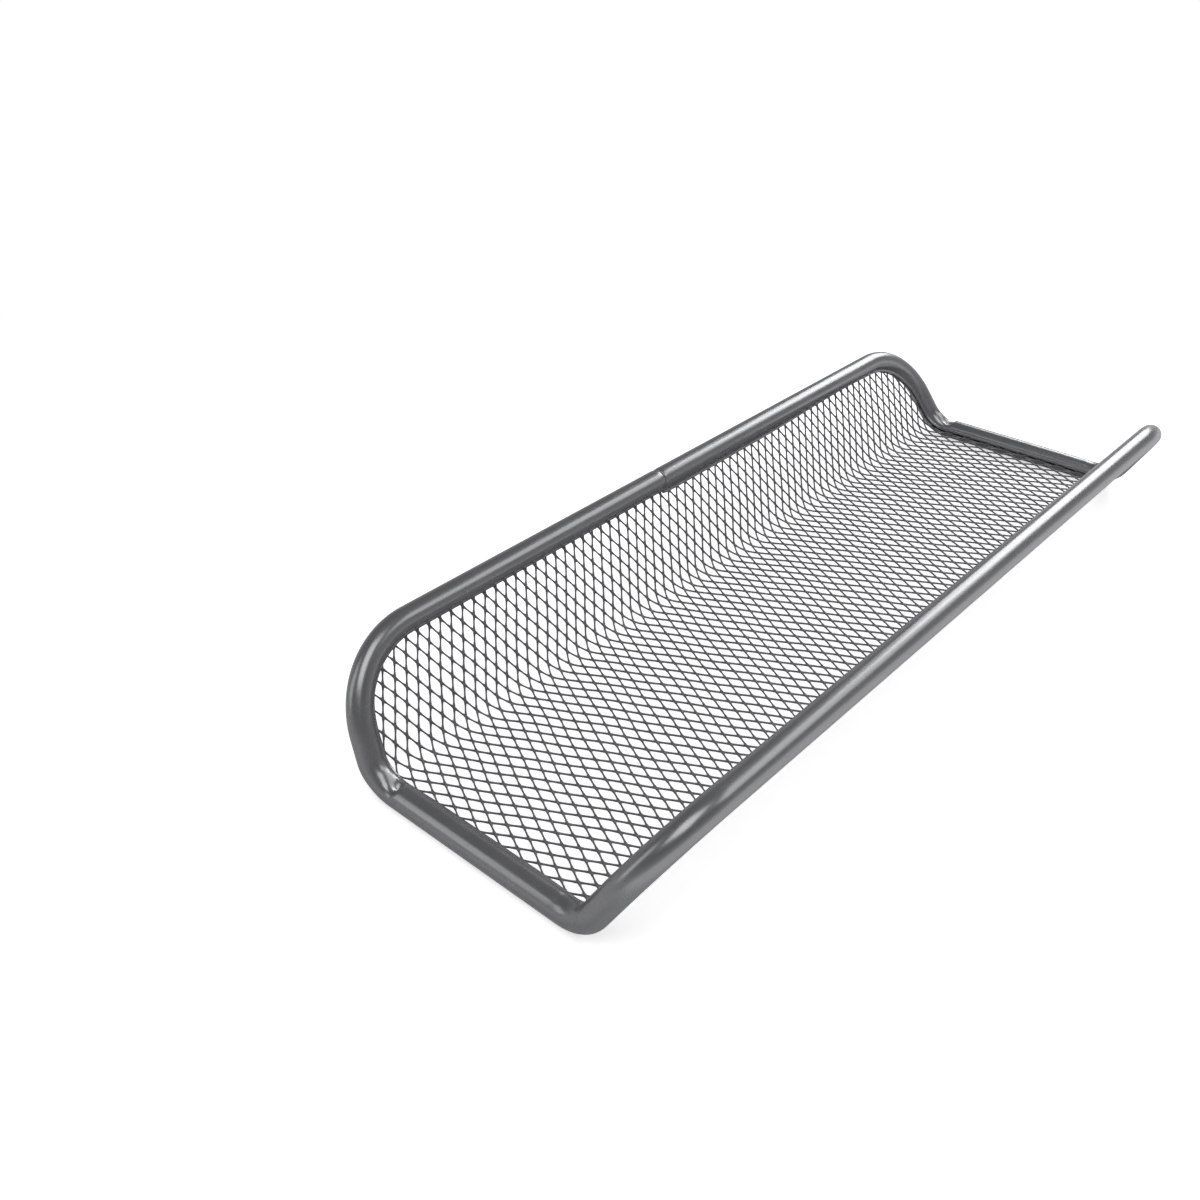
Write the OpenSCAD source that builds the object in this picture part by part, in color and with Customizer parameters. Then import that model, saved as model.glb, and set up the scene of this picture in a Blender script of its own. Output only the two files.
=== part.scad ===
// Desk tray for pens: one sheet of diamond mesh with a flat floor and two long walls that lean outwards,
// open at both ends, with one rolled steel strip closed round its whole edge.
// X runs along the tray, Y across it and Z up. The origin is on the desk, under the middle of the tray.

/* [Tray] */
// Length between the middles of the beads at the two open ends
tray_l = 251.2; // [180:0.1:320]
// Width of the floor between the two creases
floor_w = 64; // [45:1:90]
// Height of a wall up its slope, from the crease to the middle of its top bead
wall_h = 30.2; // [29:0.1:45]
// Lean of each wall outwards from upright, in degrees
wall_lean = 30; // [22:1:40]
// Radius of the bend at each crease, at the middle of the sheet
fold_r = 6.7; // [5:0.1:8]
// Radius of the rounded upper corners of a wall, at the middle of the bead
corner_r = 23.2; // [14:0.1:24]
// Lean of a wall's two ends towards the middle of the tray, in degrees
end_lean = 10.5; // [4:0.5:12]
// Radius at which the rim turns into that lean, just above the crease
kink_r = 20; // [12:1:26]

/* [Rim strip] */
// Outside diameter of the rolled bead
bead_d = 6.4; // [5:0.1:8]
// Thickness of the strip
strip_t = 0.5; // [0.4:0.05:0.8]
// Reach of the two legs of the strip past the bead, over the edge of the mesh
leg_w = 0.4; // [0.3:0.1:3]

/* [Mesh sheet] */
// Thickness of the mesh sheet
sheet_t = 0.6; // [0.4:0.05:1]
// Pitch of the diamonds along the tray
mesh_pitch_l = 3.58; // [3:0.01:5]
// Pitch of the diamonds across the tray and up its walls
mesh_pitch_w = 6.75; // [5:0.01:9]
// Width of one strand between two diamonds
strand_w = 0.58; // [0.4:0.01:0.8]
// Size at which the diamonds are drawn here, as a share of their real size
drawn_size_share = 5.2; // [4:0.1:8]
// Width of the solid border that ties the ends of the strands, between the legs of the strip
border_w = 1; // [0.6:0.1:1.5]

/* [Seam] */
// Distance of the seam in the rim from the middle of the tray
seam_offset = 9.5; // [0:0.5:60]
// Opening between the two ends of the strip at the seam
seam_gap = 0.25; // [0.1:0.05:0.6]
// Length of the pin inside the bead that lines up the two ends
pin_l = 16; // [10:1:30]
// Clearance between the pin and the inside of the bead
pin_clearance = 0.05; // [0.02:0.01:0.1]

/* [Hidden] */
$fn = 96;

// Flat facets that the sheet and its strip take round one fold
fold_facets = 3;
// Overrun of a cut past the surface that it opens
overrun = 0.5;
// Play between the sheet and each leg of the strip
leg_play = 0.01;
// Sides of the bead's section, one of them flat on the desk
bead_sides = 18;
// Steps of the strip and the sheet's edge round a corner, and round the slight turn above a crease
bend_steps = 9;
kink_steps = 2;
// Straight run left between that turn and the corner where a low wall makes the corner smaller
least_lean_run = 0.5;

rim_x = tray_l / 2;
bead_r = bead_d / 2;
bore_r = bead_r - strip_t;
leg_reach = bead_r + leg_w;
sheet_z = bead_r * cos(180 / bead_sides);
pin_r = bore_r * cos(180 / bead_sides) - pin_clearance;

fold_angle = 90 - wall_lean;
fold_tangent = fold_r * tan(fold_angle / 2);
floor_half = floor_w / 2 - fold_tangent;
facet_angle = fold_angle / fold_facets;
facet_w = 2 * fold_r * sin(facet_angle / 2);
facet_mitre = (sheet_t / 2 + overrun) * tan(facet_angle / 2);

// Places in the plane of a wall, with x along the tray and y up the slope from the end of the bend
rim_h = wall_h - fold_tangent;
kink_x = rim_x - kink_r;
kink_end = [kink_x + kink_r * cos(end_lean), kink_r * sin(end_lean)];
wall_corner_r = min(corner_r, (rim_h - kink_end.y - least_lean_run) / (1 - sin(end_lean)));
lean_run = (rim_h - kink_end.y - wall_corner_r * (1 - sin(end_lean))) / cos(end_lean);
lean_end = kink_end + lean_run * [-sin(end_lean), cos(end_lean)];
corner_mid = lean_end - wall_corner_r * [cos(end_lean), sin(end_lean)];

// Places on the sheet laid out flat, with y across it from the middle of the floor
fold_start = floor_half;
wall_start = floor_half + fold_facets * facet_w;
sheet_end = wall_start + rim_h - bore_r;

// Half diagonals of one diamond, and the share of it that is open between the strands
diamond_l = drawn_size_share * mesh_pitch_l / 2;
diamond_w = drawn_size_share * mesh_pitch_w / 2;
strand_reach = diamond_l * diamond_w / norm([diamond_l, diamond_w]);
open_share = 1 - drawn_size_share * strand_w / 2 / strand_reach;

// Mirrored copy of a shape, besides the shape itself
module both(axis) {
    children();
    mirror(axis) children();
}

// Moves a shape from the plane of a wall, sheet facing z, to the left wall of the tray
module on_wall() {
    translate([0, floor_half + fold_r * sin(fold_angle), sheet_z + fold_r * (1 - cos(fold_angle))])
        rotate([fold_angle, 0, 0])
            children();
}

// A place along the middle of the bead: where it is, the way out of the tray there and the sheet's normal
function fold_place(angle) = [
    [rim_x, floor_half + fold_r * sin(angle), sheet_z + fold_r * (1 - cos(angle))],
    [1, 0, 0],
    [0, -sin(angle), cos(angle)]
];
function wall_place(mid, radius, angle) =
    let (
        foot = fold_place(fold_angle),
        up = [0, cos(fold_angle), sin(fold_angle)],
        out = [cos(angle), sin(angle)]
    )
    [
        [mid.x + radius * out.x, foot[0].y, foot[0].z] + (mid.y + radius * out.y) * up,
        [out.x, 0, 0] + out.y * up,
        foot[2]
    ];

// The places down one quarter of the rim, from its top run to its end run
function quarter_places() = [
    for (k = [0 : bend_steps])
        wall_place(corner_mid, wall_corner_r, 90 - (90 - end_lean) * k / bend_steps),
    for (k = [0 : kink_steps])
        wall_place([kink_x, 0], kink_r, end_lean * (1 - k / kink_steps)),
    for (k = [1 : fold_facets])
        fold_place(fold_angle - k * facet_angle)
];
function mirrored_places(places, fx, fy) = [
    for (place = places)
        [for (v = place) [fx * v.x, fy * v.y, v.z]]
];

// The two places at the seam, in the top run of the left wall
function seam_places() = [
    for (side = [1, -1])
        let (top = wall_place([side * seam_gap / 2 - seam_offset, rim_h], 0, 90))
            top
];
function rim_places() =
    let (quarter = quarter_places(), ends = seam_places())
    concat(
        [ends[0]],
        quarter,
        reversed(mirrored_places(quarter, 1, -1)),
        mirrored_places(quarter, -1, -1),
        reversed(mirrored_places(quarter, -1, 1)),
        [ends[1]]
    );

// The strip's two faces in section, from the tip of one leg round the bead to the tip of the other leg
function strip_face(radius, leg) =
    let (
        root = radius * cos(asin(leg / radius)),
        steps = (bead_sides - 4) / 2,
        step = 360 / bead_sides
    )
    concat(
        [[-leg_reach, -leg], [-root, -leg]],
        [for (k = [-steps : steps]) radius * [cos(k * step), sin(k * step)]],
        [[-root, leg], [-leg_reach, leg]]
    );

// A closed loop of section points, carried from place to place and capped at the seam
module rim_strip() {
    outside = strip_face(bead_r, sheet_t / 2 + leg_play + strip_t);
    inside = strip_face(bore_r, sheet_t / 2 + leg_play);
    section = concat(outside, reversed(inside));
    places = rim_places();
    n = len(section);
    half = n / 2;
    last = (len(places) - 1) * n;
    points = [
        for (place = places)
            for (p = section)
                place[0] + p.x * place[1] + p.y * place[2]
    ];
    sides = [
        for (k = [0 : len(places) - 2])
            for (i = [0 : n - 1])
                let (a = k * n + i, b = k * n + (i + 1) % n)
                    [a, b, b + n, a + n]
    ];
    first_cap = [for (i = [0 : half - 2]) [i, n - 1 - i, n - 2 - i, i + 1]];
    last_cap = [for (i = [0 : half - 2]) [last + i, last + i + 1, last + n - 2 - i, last + n - 1 - i]];
    color("#8f9193")
        polyhedron(points, concat(sides, first_cap, last_cap));
}

// Corners of one quarter of the sheet's outline laid out flat, drawn in from the edge by an inset
function quarter_outline(inset) = [
    for (k = [0 : kink_steps])
        let (a = end_lean * k / kink_steps, r = kink_r - bore_r - inset)
            [kink_x + r * cos(a), wall_start + r * sin(a)],
    for (k = [0 : bend_steps])
        let (a = end_lean + (90 - end_lean) * k / bend_steps, r = wall_corner_r - bore_r - inset)
            [corner_mid.x + r * cos(a), wall_start + corner_mid.y + r * sin(a)]
];

function flipped(points, fx, fy) = [for (p = points) [fx * p.x, fy * p.y]];
function reversed(points) = [for (k = [len(points) - 1 : -1 : 0]) points[k]];

module sheet_outline(inset) {
    quarter = quarter_outline(inset);
    polygon(concat(
        quarter,
        reversed(flipped(quarter, -1, 1)),
        flipped(quarter, -1, -1),
        reversed(flipped(quarter, 1, -1))
    ));
}

// The open diamonds in staggered rows that reach into the band between two places across the sheet
module diamonds(from, to) {
    rows = ceil(sheet_end / diamond_w);
    columns = ceil(rim_x / diamond_l / 2);
    for (row = [-rows : rows])
        if ((row + open_share) * diamond_w > from && (row - open_share) * diamond_w < to)
            for (column = [-columns : columns])
                translate([(2 * column + abs(row) % 2) * diamond_l, row * diamond_w])
                    scale(open_share)
                        polygon([[diamond_l, 0], [0, diamond_w], [-diamond_l, 0], [0, -diamond_w]]);
}

// Corners of one face of the folded sheet in section, from the fold up to the wall's edge
function section_side(offset) = concat(
    [
        for (k = [0 : fold_facets])
            let (
                mid = fold_place(k * facet_angle)[0],
                before = max(k - 1 / 2, 0) * facet_angle,
                after = min(k + 1 / 2, fold_facets) * facet_angle,
                reach = offset / cos((after - before) / 2),
                turn = (before + after) / 2
            )
            [mid.y - reach * sin(turn), mid.z + reach * cos(turn)]
    ],
    [
        let (edge = wall_place([0, rim_h - bore_r], 0, 0)[0])
            [edge.y - offset * sin(fold_angle), edge.z + offset * cos(fold_angle)]
    ]
);

// The folded sheet before its diamonds and corners are cut
module folded_plate() {
    upper = section_side(sheet_t / 2);
    lower = section_side(-sheet_t / 2);
    translate([bore_r - rim_x, 0, 0])
        rotate([90, 0, 90])
            linear_extrude(2 * (rim_x - bore_r))
                polygon(concat(
                    lower,
                    reversed(upper),
                    flipped(upper, -1, 1),
                    reversed(flipped(lower, -1, 1))
                ));
}

// Cutter right through one flat band of the sheet, from a flat shape drawn on the sheet laid out
module band_cut(from) {
    translate([0, -from, -sheet_t / 2 - overrun])
        linear_extrude(sheet_t + 2 * overrun)
            children();
}

// The open diamonds of one flat band, run on a little to meet those of its neighbours
module band_diamonds(from, to) {
    band_cut(from)
        intersection() {
            sheet_outline(border_w);
            diamonds(from, to);
            translate([-rim_x, from - facet_mitre])
                square([2 * rim_x, to - from + 2 * facet_mitre]);
        }
}

// What is cut off round the upper corners of a wall
module wall_waste() {
    band_cut(wall_start)
        difference() {
            translate([-rim_x, wall_start])
                square([2 * rim_x, rim_h]);
            sheet_outline(0);
        }
}

// The mesh sheet: its floor, two folds in flat facets and two walls
module mesh_sheet() {
    color("#5c5e60")
        difference() {
            folded_plate();
            translate([0, -floor_half, sheet_z])
                band_diamonds(-fold_start, fold_start);
            both([0, 1, 0]) {
                for (k = [0 : fold_facets - 1])
                    let (mid = fold_place(k * facet_angle)[0])
                        translate([0, mid.y, mid.z])
                            rotate([(k + 1 / 2) * facet_angle, 0, 0])
                                band_diamonds(fold_start + k * facet_w, fold_start + (k + 1) * facet_w);
                on_wall() {
                    band_diamonds(wall_start, sheet_end);
                    wall_waste();
                }
            }
        }
}

// The pin inside the bead, across the seam
module seam_pin() {
    color("#a4a6a8")
        on_wall()
            translate([-seam_offset - pin_l / 2, rim_h, 0])
                rotate([0, 90, 0])
                    cylinder(r = pin_r, h = pin_l);
}

mesh_sheet();
rim_strip();
seam_pin();
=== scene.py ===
import math

import bpy
import numpy as np
from mathutils import Matrix, Vector


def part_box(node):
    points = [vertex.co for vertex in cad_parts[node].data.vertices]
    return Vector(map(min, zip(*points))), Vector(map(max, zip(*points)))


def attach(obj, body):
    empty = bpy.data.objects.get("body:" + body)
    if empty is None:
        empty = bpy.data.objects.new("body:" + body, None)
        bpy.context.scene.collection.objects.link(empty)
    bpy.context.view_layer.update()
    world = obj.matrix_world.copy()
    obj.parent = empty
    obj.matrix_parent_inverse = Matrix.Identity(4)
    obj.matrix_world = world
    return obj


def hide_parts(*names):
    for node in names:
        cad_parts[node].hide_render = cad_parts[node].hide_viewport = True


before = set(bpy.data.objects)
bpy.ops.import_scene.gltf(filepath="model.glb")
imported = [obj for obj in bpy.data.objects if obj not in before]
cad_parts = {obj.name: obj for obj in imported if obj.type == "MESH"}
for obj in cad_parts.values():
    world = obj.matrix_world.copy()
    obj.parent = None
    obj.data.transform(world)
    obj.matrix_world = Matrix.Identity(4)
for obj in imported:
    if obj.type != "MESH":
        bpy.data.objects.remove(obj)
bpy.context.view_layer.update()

MM = 0.001

# The bead, and the strip that it is rolled from
BEAD_R = 3.2 * MM
STRIP_T = 0.5 * MM

# The legs' reach past the bead, and what is added to it or taken off in places
LEG_W = 0.4 * MM
NEAR_LEG = 0.3 * MM
FAR_LEG = -0.3 * MM
WIDE_LEG = 0.65 * MM
NARROW_LEG = 0.3 * MM
LEG_DIP_X = 82 * MM
LEG_DIP_W = 28 * MM
LEG_DIP_SHARE = 1.6
LEG_STEP_W = 0.2 * MM
LEG_TURN_START = math.radians(12)
LEG_TURN = math.radians(28)

# The strip's section: the bead's round part, the fillet to the legs and the legs' rounded tips
BEAD_TURN = math.radians(118)
BORE_TURN = math.radians(172)
LEG_FILLET = 0.35 * MM
LEG_SINK = 0.03 * MM
LEG_TIP_L = 0.15 * MM
LEG_TIP_BACK = 0.04 * MM
LEG_TIP_DOWN = 0.06 * MM
LEG_END_DOWN = 0.18 * MM

# The folded tray
SHEET_T = 0.6 * MM
FLOOR_W = 64 * MM
WALL_H = 30.2 * MM
FOLD_R = 6.7 * MM
BEAD_FOLD_R = 10 * MM
CORNER_R = 23.2 * MM
KINK_R = 20 * MM
KINK_EARLY = 3.5 * MM
WALL_LEAN = math.radians(30)
END_LEAN = math.radians(10.5)

# The stretched mesh: its diamonds and its strands
PITCH_L = 3.58 * MM
PITCH_W = 6.75 * MM
STRAND_W = 0.6 * MM
STRAND_T = 0.5 * MM
EDGE_IN_BORE = 0.5 * MM
SIDE_STEPS = 3
OPENING_POWER = 1.22
OPENING_SHARE = 0.97
CROWN_SHARE = 0.6
THICK_SHARES = (1.0, 0.86, 0.35)

# Slow waves in the mesh, each as (share of a pitch, turn per pitch along, turn per pitch across, phase)
WAVES_ALONG = ((0.035, 0.31, 0.9, 0), (0.03, 0.83, -1.7, 2))
WAVES_ACROSS = ((0.03, 0.23, -0.7, 1), (0.02, 1.1, 1.9, 0))

# The butt seam and its tucked lips
SEAM_OFFSET = 9.5 * MM
SEAM_GAP = 0.25 * MM
SEAM_FINE_RUN = 12 * MM
LIP_TUCK = 0.18 * MM
LIP_W = 0.55 * MM

# The dent where the bead folds, by the angle bent through and the angle round the section
CRIMP_DEPTH = 2.1 * MM
RIGHT_CRIMP_SHARE = 0.06
CRIMP_AT = math.radians(-3)
CRIMP_UP = math.radians(36)
CRIMP_DOWN = math.radians(6)
CRIMP_SIDE = math.radians(92)
CRIMP_SPREAD = math.radians(44)

# Places that follow from them and from the frame's box
BORE_R = BEAD_R - STRIP_T
LEG_REACH = BEAD_R + LEG_W
RIM_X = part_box("rim_strip")[1][0] - BEAD_R
SHEET_Z = BEAD_R
FOLD_ANGLE = math.pi / 2 - WALL_LEAN
FLOOR_HALF = FLOOR_W / 2 - BEAD_FOLD_R * math.tan(FOLD_ANGLE / 2)
WALL_START = FLOOR_HALF + BEAD_FOLD_R * FOLD_ANGLE
RIM_H = WALL_H - BEAD_FOLD_R * math.tan(FOLD_ANGLE / 2)
RIM_TOP = WALL_START + RIM_H
KINK_START = WALL_START - KINK_EARLY


def linear(hex_colour):
    """An sRGB hex colour as linear RGBA."""
    channels = [int(hex_colour[i:i + 2], 16) / 255 for i in (1, 3, 5)]
    return [c / 12.92 if c <= 0.04045 else ((c + 0.055) / 1.055) ** 2.4 for c in channels] + [1]


def folded(blank, radius):
    """Points of the flat blank, as (along, across, off the sheet), on the tray folded at a radius."""
    along, across, off = blank[:, 0], blank[:, 1], blank[:, 2]
    reach = np.abs(across)
    start = FLOOR_W / 2 - radius * math.tan(FOLD_ANGLE / 2)
    turn = np.clip((reach - start) / radius, 0, FOLD_ANGLE)
    flat = np.minimum(reach, start)
    slope = np.maximum(reach - start - radius * FOLD_ANGLE, 0)
    y = flat + (radius - off) * np.sin(turn) + slope * math.cos(FOLD_ANGLE)
    z = SHEET_Z + radius - (radius - off) * np.cos(turn) + slope * math.sin(FOLD_ANGLE)
    return np.stack([along, np.sign(across) * y, z], axis=1)


def new_piece(name, points, faces, node, material):
    """A smooth-shaded mesh that stands for a CAD node and rides with the tray."""
    mesh = bpy.data.meshes.new(name)
    mesh.from_pydata([tuple(p) for p in points], [], faces)
    mesh.validate()
    for face in mesh.polygons:
        face.use_smooth = True
    piece = bpy.data.objects.new(name, mesh)
    bpy.context.scene.collection.objects.link(piece)
    mesh.materials.append(material)
    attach(piece, "root")
    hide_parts(node)


# The rim's way round the blank

def arc(middle, radius, start, end, steps):
    """Places on an arc as rows of (along, across, out along, out across), out leading from the middle."""
    angles = np.linspace(start, end, steps + 1)
    out = np.stack([np.cos(angles), np.sin(angles)], axis=1)
    return np.hstack([np.array(middle) + radius * out, out])


def straight(start, end, out, steps):
    """Places on a straight run, with the same way out all along."""
    shares = np.linspace(0, 1, steps + 1)[:, None]
    start, end = np.array(start), np.array(end)
    return np.hstack([start + shares * (end - start), np.tile(out, (steps + 1, 1))])


def quarter_rim():
    """Places from the middle of an end run, up a wall's end and round its corner, to mid top run."""
    kink_mid = np.array([RIM_X - KINK_R, KINK_START])
    out = np.array([math.cos(END_LEAN), math.sin(END_LEAN)])
    climb = np.array([-out[1], out[0]])
    kink_end = kink_mid + KINK_R * out
    rise = RIM_TOP - kink_end[1] - CORNER_R * (1 - out[1])
    lean_end = kink_end + rise / out[0] * climb
    corner_mid = lean_end - CORNER_R * out
    before_fold = FLOOR_HALF - BEAD_FOLD_R
    stretches = [
        straight((RIM_X, 0), (RIM_X, before_fold), (1, 0), steps=10),
        straight((RIM_X, before_fold), (RIM_X, FLOOR_HALF), (1, 0), steps=40),
        straight((RIM_X, FLOOR_HALF), (RIM_X, KINK_START), (1, 0), steps=24),
        arc(kink_mid, KINK_R, 0, END_LEAN, steps=12),
        straight(kink_end, lean_end, out, steps=8),
        arc(corner_mid, CORNER_R, END_LEAN, math.pi / 2, steps=36),
        straight((corner_mid[0], RIM_TOP), (0, RIM_TOP), (0, 1), steps=24),
    ]
    return np.vstack([stretches[0]] + [s[1:] for s in stretches[1:]])


def rim_way():
    """The whole way round, from one lip of the seam to the other, with finer steps beside the seam."""
    quarter = quarter_rim()
    flips = [((1, 1), -1), ((1, -1), 1), ((-1, -1), -1), ((-1, 1), 1)]
    parts = [(quarter * (flip + flip))[::step] for flip, step in flips]
    way = np.vstack([parts[0][1:], parts[1][1:], parts[2][1:], parts[3][1:-1]])
    on_top = np.abs(way[:, 1] - RIM_TOP) < MM / 1000
    place = np.arange(len(way)) - len(way) // 2
    seam = -SEAM_OFFSET
    before = way[on_top & (way[:, 0] < seam - SEAM_FINE_RUN) & (place > 0)]
    after = way[on_top & (way[:, 0] > seam + SEAM_FINE_RUN) & (place < 0)]
    first = straight((seam + SEAM_GAP / 2, RIM_TOP), (seam + SEAM_FINE_RUN, RIM_TOP), (0, 1), steps=40)
    last = straight((seam - SEAM_FINE_RUN, RIM_TOP), (seam - SEAM_GAP / 2, RIM_TOP), (0, 1), steps=40)
    return np.vstack([first, after, way[~on_top], before, last])


def strip_section():
    """The strip's section as (out of the tray, off the sheet): its outside round, then its inside back."""
    leg = SHEET_T / 2 + STRIP_T
    angles = np.linspace(0, BEAD_TURN, num=22)
    bead = BEAD_R * np.stack([np.cos(angles), np.sin(angles)], axis=1)
    reach = np.linspace(bead[-1, 0], -LEG_REACH + LEG_TIP_L, num=13)[1:]
    round_off = np.sqrt(np.maximum(BEAD_R ** 2 - reach ** 2, 0))
    height = 0.5 * (round_off + leg + np.sqrt((round_off - leg) ** 2 + LEG_FILLET ** 2))
    legs = np.stack([reach, np.maximum(height - LEG_SINK, leg)], axis=1)
    tip = np.array([[-LEG_REACH + LEG_TIP_BACK, leg - LEG_TIP_DOWN], [-LEG_REACH, leg - LEG_END_DOWN]])
    half = np.vstack([bead, legs, tip])
    outside = np.vstack([half[::-1] * (1, -1), half[1:]])
    bore_angles = np.linspace(BORE_TURN, -BORE_TURN, num=24)
    bore = BORE_R * np.stack([np.cos(bore_angles), np.sin(bore_angles)], axis=1)
    slot = SHEET_T / 2
    return np.vstack([outside, [[-LEG_REACH, slot]], bore, [[-LEG_REACH, -slot]]])


def leg_growth(way):
    """How much farther than LEG_REACH the legs reach at each place.

    On the left wall they reach farther past the seam, with a dip before the far corner, and less before the
    seam. On the near end run they reach farther, and on the far one less."""
    round_corner = np.arctan2(way[:, 3], np.abs(way[:, 2]))
    share = np.clip((round_corner - LEG_TURN_START) / LEG_TURN, 0, 1)
    on_left_wall = share ** 2 * (3 - 2 * share) * (way[:, 1] > WALL_START)
    past_seam = np.clip((way[:, 0] + SEAM_OFFSET) / LEG_STEP_W, 0, 1)
    dip = LEG_DIP_SHARE * np.exp(-((way[:, 0] - LEG_DIP_X) / LEG_DIP_W) ** 2)
    on_end_run = np.clip((FLOOR_HALF - np.abs(way[:, 1])) / BEAD_FOLD_R, 0, 1)
    end_leg = np.where(way[:, 0] < 0, NEAR_LEG, FAR_LEG)
    wall_leg = past_seam * WIDE_LEG * (1 - dip) - (1 - past_seam) * NARROW_LEG
    return end_leg * on_end_run + wall_leg * on_left_wall


def crimped(way, section):
    """The section at each place on the way: dented where the bead folds, and tucked in at the seam's lips.

    The dent is sharp on the floor's side and runs out slowly up the wall."""
    shapes = np.repeat(section[None], len(way), axis=0)
    past_crimp = (np.abs(way[:, 1]) - FLOOR_HALF) / BEAD_FOLD_R - CRIMP_AT
    up = np.clip(1 - past_crimp / CRIMP_UP, 0, 1) ** 2
    pinch = np.where(past_crimp > 0, up, np.exp(-(past_crimp / CRIMP_DOWN) ** 2))
    pinch *= np.where(way[:, 1] > 0, 1, RIGHT_CRIMP_SHARE)
    side = np.arctan2(section[:, 1], section[:, 0])
    reach = np.hypot(section[:, 0], section[:, 1])
    off_the_legs = np.clip(2 * (section[:, 0] / BEAD_R + 1), 0, 1)
    where = np.exp(-((side - CRIMP_SIDE) / CRIMP_SPREAD) ** 2) * off_the_legs
    depth = CRIMP_DEPTH * pinch[:, None] * where[None, :]
    shapes *= (1 - depth / np.maximum(reach, BORE_R)[None, :])[:, :, None]
    tip_share = np.clip((-BORE_R - section[:, 0]) / (LEG_REACH - BORE_R), 0, 1)
    shapes[:, :, 0] -= leg_growth(way)[:, None] * tip_share[None, :]
    from_seam = np.abs(way[:, 0] + SEAM_OFFSET) - SEAM_GAP / 2
    on_left_run = way[:, 1] > RIM_TOP - MM
    tuck = LIP_TUCK * np.exp(-np.maximum(from_seam, 0) / LIP_W) * on_left_run
    shapes *= (1 - tuck / BEAD_R)[:, None, None]
    return shapes


def swept(way, shapes):
    """Points and faces of a strip from its section at each place on the way, closed at its two ends."""
    rings, count = shapes.shape[:2]
    along = way[:, None, 0] + shapes[:, :, 0] * way[:, None, 2]
    across = way[:, None, 1] + shapes[:, :, 0] * way[:, None, 3]
    points = np.stack([along, across, shapes[:, :, 1]], axis=2).reshape(-1, 3)
    faces = []
    for ring in range(rings - 1):
        for i in range(count):
            a, b = ring * count + i, ring * count + (i + 1) % count
            faces.append((a, b, b + count, a + count))
    faces.append(tuple(range(count))[::-1])
    faces.append(tuple((rings - 1) * count + i for i in range(count)))
    return points, faces


def build_rim(material):
    """The rolled strip, swept round the blank's edge and folded with the bead's own softer bend."""
    way = rim_way()
    points, faces = swept(way, crimped(way, strip_section()))
    new_piece("rolled_rim", folded(points, BEAD_FOLD_R), faces, "rim_strip", material)


# The mesh sheet

def rim_line(inset):
    """The rim's way as a closed line on the blank, drawn in by an inset."""
    quarter = quarter_rim()
    line = quarter[:, :2] - inset * quarter[:, 2:]
    flips = [((1, 1), 1), ((-1, 1), -1), ((-1, -1), 1), ((1, -1), -1)]
    return np.vstack([(line * flip)[::step] for flip, step in flips])


def inside_line(points, line):
    """Which points lie inside a closed line on the blank."""
    inside = np.zeros(len(points), bool)
    for (x0, y0), (x1, y1) in zip(line, np.roll(line, -1, axis=0)):
        if y0 == y1:
            continue
        spans = (y0 > points[:, 1]) != (y1 > points[:, 1])
        inside ^= spans & (points[:, 0] < (x1 - x0) * (points[:, 1] - y0) / (y1 - y0) + x0)
    return inside


def drifted(points):
    """The slow unevenness of a stretched sheet, which moves its points by a small share of a pitch."""
    along, across = points[:, 0] / PITCH_L, points[:, 1] / PITCH_W
    shift = np.zeros_like(points)
    for axis, waves in enumerate((WAVES_ALONG, WAVES_ACROSS)):
        for size, turn_along, turn_across, phase in waves:
            shift[:, axis] += size * np.sin(turn_along * along + turn_across * across + phase)
    return points + shift * (PITCH_L, PITCH_W)


def diamond_rings(half):
    """Three rings of points round one diamond: the middle lines of its strands, their crowns and its opening.

    The opening's corners are rounded by a power between that of a rhomb, 1, and that of an ellipse, 2."""
    corners = np.array([[1, 0], [0, 1], [-1, 0], [0, -1]])
    sides = np.roll(corners, -1, axis=0) - corners
    shares = np.arange(SIDE_STEPS) / SIDE_STEPS
    rhomb = (corners[:, None] + sides[:, None] * shares[None, :, None]).reshape(-1, 2)
    cosines, sines = rhomb.T / np.hypot(*rhomb.T)
    length = (np.abs(cosines) ** OPENING_POWER + np.abs(sines) ** OPENING_POWER) ** (-1 / OPENING_POWER)
    strand_share = STRAND_W / 2 / (half[0] * half[1] / math.hypot(*half))
    open_share = (1 - strand_share) * OPENING_SHARE
    opening = open_share * np.stack([cosines, sines], axis=1) * length[:, None]
    crown = rhomb + (opening - rhomb) * CROWN_SHARE
    return np.vstack([rhomb, crown, opening]) * half


def diamond_plan():
    """Plan of the stretched sheet: points, four-sided faces and half the strand's thickness at each point."""
    half = np.array([PITCH_L, PITCH_W]) / 2
    rows = int(math.ceil(RIM_TOP / half[1])) + 1
    columns = int(math.ceil(RIM_X / PITCH_L)) + 1
    middles = np.array([
        (PITCH_L * (column + (row % 2) / 2), half[1] * row)
        for row in range(-rows, rows + 1)
        for column in range(-columns, columns + 1)
    ])
    middles = middles[inside_line(middles, rim_line(-half[1]))]
    rings = diamond_rings(half)
    turns = 4 * SIDE_STEPS
    points = (middles[:, None, :] + rings[None, :, :]).reshape(-1, 2)
    thick = np.tile(np.repeat(THICK_SHARES, turns) * STRAND_T / 2, len(middles))
    weld = PITCH_L / 1000
    keys = np.round(points / weld).astype(np.int64)
    _, first, same = np.unique(keys, axis=0, return_index=True, return_inverse=True)
    same = same.reshape(-1)
    faces = []
    for start in range(0, len(points), len(rings)):
        for ring in range(2):
            for k in range(turns):
                a = start + ring * turns + k
                b = start + ring * turns + (k + 1) % turns
                faces.append((same[a], same[b], same[b + turns], same[a + turns]))
    return points[first], np.array(faces), thick[first]


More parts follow.
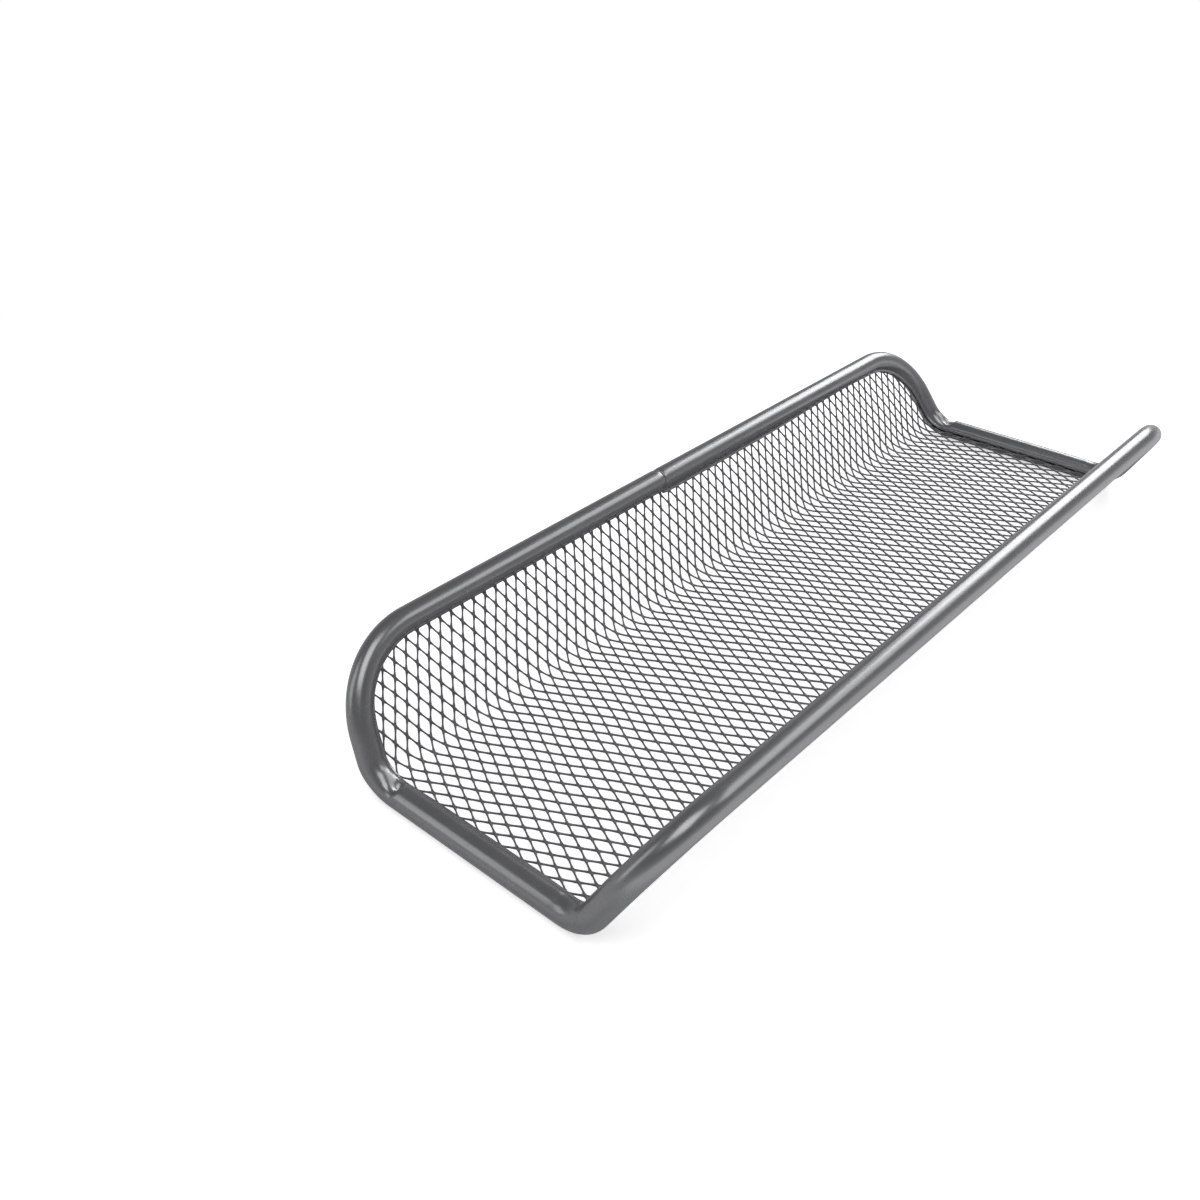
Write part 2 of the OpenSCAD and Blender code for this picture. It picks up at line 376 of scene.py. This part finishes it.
def build_sheet(material):
    """The sheet's plan cut to the inside of the rim, given its two sides and its edges, and folded."""
    plan, faces, thick = diamond_plan()
    middles = plan[faces].mean(axis=1)
    faces = faces[inside_line(middles, rim_line(BORE_R - EDGE_IN_BORE))]
    used = np.unique(faces)
    index = np.full(len(plan), -1)
    index[used] = np.arange(len(used))
    plan, thick, faces = drifted(plan[used]), thick[used], index[faces].tolist()
    count = len(plan)
    upper = np.column_stack([plan, thick])
    lower = np.column_stack([plan, -thick])
    edges = dict.fromkeys((a, b) for face in faces for a, b in zip(face, face[1:] + face[:1]))
    open_edges = [(a, b) for a, b in edges if (b, a) not in edges]
    solid = [tuple(face) for face in faces]
    solid += [tuple(i + count for i in face[::-1]) for face in faces]
    solid += [(b, a, a + count, b + count) for a, b in open_edges]
    points = folded(np.vstack([upper, lower]), FOLD_R)
    new_piece("diamond_mesh", points, solid, "mesh_sheet", material)


# Materials

CLOUD_L = 9 * MM
FLECK_SHARE = 0.3
TONE_RANGE = (0.32, 0.68)
NOISE_RANGE = (0.3, 0.7)
ROUGH_SPREAD = 0.02
PEEL_STRENGTH = 0.06
PEEL_DEPTH = 0.03 * MM
DIE_LINE_L = 6 * MM
DIE_LINE_W = 0.12 * MM


def add(tree, kind, settings=None, links=None):
    """A shader node with its settings, by attribute or socket, and links into its sockets.

    Links go by a socket's name, or by its number where a node has two sockets of one name."""
    node = tree.nodes.new(kind)
    for name, value in (settings or {}).items():
        if name in node.inputs:
            node.inputs[name].default_value = value
        else:
            setattr(node, name, value)
    for name, source in (links or {}).items():
        tree.links.new(source, node.inputs[name])
    return node


def blank_material(name):
    """A new material with an empty node tree."""
    material = bpy.data.materials.new(name)
    material.use_nodes = True
    material.node_tree.nodes.clear()
    return material, material.node_tree


def satin_enamel(name, light, dark, grain, roughness, metallic):
    """Baked metallic enamel on steel: a soft sheen, a fine orange peel and slight unevenness of tone."""
    material, tree = blank_material(name)
    place = add(tree, "ShaderNodeTexCoord").outputs["Object"]
    cloud = add(tree, "ShaderNodeTexNoise", {"Scale": 1 / CLOUD_L, "Detail": 4}, {"Vector": place})
    fleck = add(tree, "ShaderNodeTexNoise", {"Scale": 1 / grain, "Detail": 2}, {"Vector": place})
    blend = add(
        tree,
        "ShaderNodeMix",
        {"data_type": "FLOAT", "Factor": FLECK_SHARE},
        {"A": cloud.outputs["Fac"], "B": fleck.outputs["Fac"]},
    )
    tone = add(tree, "ShaderNodeValToRGB", links={"Fac": blend.outputs["Result"]})
    for stop, position, colour in zip(tone.color_ramp.elements, TONE_RANGE, (dark, light)):
        stop.position = position
        stop.color = linear(colour)
    rough = add(
        tree,
        "ShaderNodeMapRange",
        {
            "From Min": NOISE_RANGE[0],
            "From Max": NOISE_RANGE[1],
            "To Min": roughness - ROUGH_SPREAD,
            "To Max": roughness + ROUGH_SPREAD,
        },
        {"Value": cloud.outputs["Fac"]},
    )
    peel = add(
        tree,
        "ShaderNodeBump",
        {"Strength": PEEL_STRENGTH, "Distance": PEEL_DEPTH},
        {"Height": fleck.outputs["Fac"]},
    )
    shader = add(
        tree,
        "ShaderNodeBsdfPrincipled",
        {"Metallic": metallic},
        {
            "Base Color": tone.outputs["Color"],
            "Roughness": rough.outputs["Result"],
            "Normal": peel.outputs["Normal"],
        },
    )
    add(tree, "ShaderNodeOutputMaterial", links={"Surface": shader.outputs["BSDF"]})
    return material


def drawn_wire(name):
    """Bare drawn steel: fine die lines along the pin that streak its shine."""
    material, tree = blank_material(name)
    place = add(tree, "ShaderNodeTexCoord").outputs["Object"]
    stretch = add(
        tree,
        "ShaderNodeMapping",
        {"Scale": (1 / DIE_LINE_L, 1 / DIE_LINE_W, 1 / DIE_LINE_W)},
        {"Vector": place},
    )
    stretched = stretch.outputs["Vector"]
    lines = add(tree, "ShaderNodeTexNoise", {"Scale": 1.0, "Detail": 3}, {"Vector": stretched})
    streak = lines.outputs["Fac"]
    tone = add(tree, "ShaderNodeValToRGB", links={"Fac": streak})
    tone.color_ramp.elements[0].color = linear("#9a9b9d")
    tone.color_ramp.elements[1].color = linear("#c6c7c9")
    rough = add(tree, "ShaderNodeMapRange", {"To Min": 0.22, "To Max": 0.42}, {"Value": streak})
    shader = add(
        tree,
        "ShaderNodeBsdfPrincipled",
        {"Metallic": 1.0},
        {"Base Color": tone.outputs["Color"], "Roughness": rough.outputs["Result"]},
    )
    add(tree, "ShaderNodeOutputMaterial", links={"Surface": shader.outputs["BSDF"]})
    return material


# Stage, lights and camera: reaches in metres, glows as shares of white

STAGE_HALF = 4.0
PAPER_LIFT = 0.62
FADE_START = 0.22
FADE_END = 0.42
# Beside the tray's right side, the floor's glow for glossy rays starts at the first reach and is full at the
# second. It is a painted reflection in the rim's right run.
RIGHT_GLOW_START = 0.045
RIGHT_GLOW_END = 0.08
HORIZON_GLOW = 0.5
OVERHEAD_GLOW = 0.14
DIM_BY_HEIGHT = 0.5


def on_rays(tree, value, span, rays):
    """A share that rises softly from 0 to 1 as a value goes through a span, for one kind of ray alone."""
    rise = add(
        tree,
        "ShaderNodeMapRange",
        {"interpolation_type": "SMOOTHSTEP", "From Min": span[0], "From Max": span[1]},
        {"Value": value},
    )
    share = add(
        tree, "ShaderNodeMath", {"operation": "MULTIPLY"}, {0: rise.outputs["Result"], 1: rays}
    )
    return share.outputs["Value"]


def mixed(tree, share, first, second):
    """A mix of two shaders by the share of the second."""
    return add(tree, "ShaderNodeMixShader", links={"Fac": share, 1: first, 2: second}).outputs["Shader"]


def studio_white(name):
    """A matt floor that the camera sees as white paper with the tray's soft shadow on it.

    To all other rays it is a pale grey, so that the rim mirrors it as softly as in a dim room. Well away from
    the tray the camera sees it as plain white. Beside the tray's right side the floor glows plain white to
    glossy rays alone. This is a painted reflection that lays a bright band along the rim's right run."""
    material, tree = blank_material(name)
    rays = add(tree, "ShaderNodeLightPath")
    path = rays.outputs["Is Camera Ray"]
    place = add(tree, "ShaderNodeNewGeometry").outputs["Position"]
    away = add(tree, "ShaderNodeVectorMath", {"operation": "LENGTH"}, {"Vector": place}).outputs["Value"]
    far = on_rays(tree, away, (FADE_START, FADE_END), path)
    lit = add(tree, "ShaderNodeBsdfDiffuse", {"Color": linear("#ffffff")})
    lift = add(tree, "ShaderNodeEmission", {"Color": linear("#ffffff"), "Strength": PAPER_LIFT})
    seen = add(tree, "ShaderNodeAddShader", links={0: lit.outputs["BSDF"], 1: lift.outputs["Emission"]})
    white = add(tree, "ShaderNodeEmission", {"Color": linear("#ffffff"), "Strength": 1.0})
    plain = white.outputs["Emission"]
    across = add(tree, "ShaderNodeSeparateXYZ", links={"Vector": place}).outputs["Y"]
    # Painted reflection: beside the tray's right side the floor glows plain white to glossy rays alone, which
    # lays a bright band along the rim's right run
    right_glow = on_rays(tree, across, (-RIGHT_GLOW_START, -RIGHT_GLOW_END), rays.outputs["Is Glossy Ray"])
    pale = add(tree, "ShaderNodeBsdfDiffuse", {"Color": linear("#eeeeef")})
    mirrored = mixed(tree, right_glow, pale.outputs["BSDF"], plain)
    paper = mixed(tree, path, mirrored, seen.outputs["Shader"])
    whole = mixed(tree, far, paper, plain)
    add(tree, "ShaderNodeOutputMaterial", links={"Surface": whole})
    return material


def build_floor():
    """A wide flat floor under the tray."""
    half = STAGE_HALF
    corners = [(-half, -half, 0), (half, -half, 0), (half, half, 0), (-half, half, 0)]
    mesh = bpy.data.meshes.new("studio_floor")
    mesh.from_pydata(corners, [], [(0, 1, 2, 3)])
    floor = bpy.data.objects.new("studio_floor", mesh)
    bpy.context.scene.collection.objects.link(floor)
    mesh.materials.append(studio_white("studio_white"))


def build_world():
    """A dim room that is paler towards the horizon, and plain white where the camera looks past the floor."""
    world = bpy.data.worlds.new("studio")
    bpy.context.scene.world = world
    world.use_nodes = True
    tree = world.node_tree
    tree.nodes.clear()
    path = add(tree, "ShaderNodeLightPath")
    way = add(tree, "ShaderNodeTexCoord").outputs["Generated"]
    height = add(tree, "ShaderNodeSeparateXYZ", links={"Vector": way}).outputs["Z"]
    dimming = add(
        tree,
        "ShaderNodeMapRange",
        {"From Min": 0.0, "From Max": DIM_BY_HEIGHT, "To Min": HORIZON_GLOW, "To Max": OVERHEAD_GLOW},
        {"Value": height},
    )
    room = add(
        tree, "ShaderNodeBackground", {"Color": linear("#ffffff")}, {"Strength": dimming.outputs["Result"]}
    )
    seen = add(tree, "ShaderNodeBackground", {"Color": linear("#ffffff"), "Strength": 1.0})
    whole = mixed(tree, path.outputs["Is Camera Ray"], room.outputs["Background"], seen.outputs["Background"])
    add(tree, "ShaderNodeOutputWorld", links={"Surface": whole})


def direction(azimuth, elevation):
    """The unit vector that points to an azimuth and an elevation."""
    return Vector((
        math.cos(elevation) * math.cos(azimuth),
        math.cos(elevation) * math.sin(azimuth),
        math.sin(elevation),
    ))


def soft_box(name, azimuth, elevation, distance, size, radiance, roll=0):
    """A soft rectangular lamp that faces the tray, with angles in degrees and its power from its glow."""
    way = direction(math.radians(azimuth), math.radians(elevation))
    data = bpy.data.lights.new(name, "AREA")
    data.shape = "RECTANGLE"
    data.size, data.size_y = size
    data.energy = radiance * math.pi * size[0] * size[1]
    box = bpy.data.objects.new(name, data)
    box.location = way * distance
    facing = way.to_track_quat("Z", "Y").to_matrix() @ Matrix.Rotation(math.radians(roll), 3, "Z")
    box.rotation_euler = facing.to_euler()
    box.visible_camera = False
    bpy.context.scene.collection.objects.link(box)


CAMERA_AZIMUTH = math.radians(222.33)
CAMERA_ELEVATION = math.radians(33.07)
CAMERA_ROLL = math.radians(-1.14)
CAMERA_AIM = Vector((-40.0, 34.9, 10.0)) * MM
CAMERA_DISTANCE = 325.1 * MM
CLIP_START = 10 * MM
FOCAL_PIXELS = 1199.1
PHOTO_PIXELS = 1200
CENTRE_PIXEL = (619.8, 597.2)
SENSOR = 36.0


def build_camera():
    """The camera as it was fitted to the photo: its place, aim, roll, focal length and centre."""
    data = bpy.data.cameras.new("photo_view")
    data.sensor_width = SENSOR
    data.lens = SENSOR * FOCAL_PIXELS / PHOTO_PIXELS
    data.shift_x = (PHOTO_PIXELS / 2 - CENTRE_PIXEL[0]) / PHOTO_PIXELS
    data.shift_y = (CENTRE_PIXEL[1] - PHOTO_PIXELS / 2) / PHOTO_PIXELS
    data.clip_start = CLIP_START
    back = direction(CAMERA_AZIMUTH, CAMERA_ELEVATION)
    camera = bpy.data.objects.new("photo_view", data)
    level = (-back).to_track_quat("-Z", "Y").to_matrix()
    camera.matrix_world = Matrix.Translation(CAMERA_AIM + CAMERA_DISTANCE * back) @ (
        level @ Matrix.Rotation(CAMERA_ROLL, 3, "Z")
    ).to_4x4()
    bpy.context.scene.collection.objects.link(camera)
    bpy.context.scene.camera = camera


build_camera()
build_floor()
build_world()

# Each lamp stands where the highlights round the bead show that the light came from
soft_box("overhead", azimuth=210, elevation=68, distance=1.1, size=(0.7, 0.7), radiance=2.2)
soft_box("far_end", azimuth=6, elevation=31, distance=1.0, size=(0.56, 0.42), radiance=4.4, roll=-32)
soft_box("right_side", azimuth=324, elevation=47, distance=1.0, size=(0.76, 0.42), radiance=1.55)
soft_box("left_side", azimuth=142, elevation=28, distance=1.0, size=(0.36, 0.62), radiance=1.1)

rim_enamel = satin_enamel(
    "silver_grey_enamel_on_rolled_steel",
    light="#97989a",
    dark="#929395",
    grain=0.35 * MM,
    roughness=0.27,
    metallic=0.7,
)
mesh_enamel = satin_enamel(
    "grey_enamel_on_stretched_steel",
    light="#727377",
    dark="#68696d",
    grain=0.3 * MM,
    roughness=0.5,
    metallic=0.25,
)
build_rim(rim_enamel)
build_sheet(mesh_enamel)
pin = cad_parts["seam_pin"]
pin.data.materials.clear()
pin.data.materials.append(drawn_wire("bare_drawn_steel_wire"))

bpy.context.scene.view_settings.view_transform = "Standard"
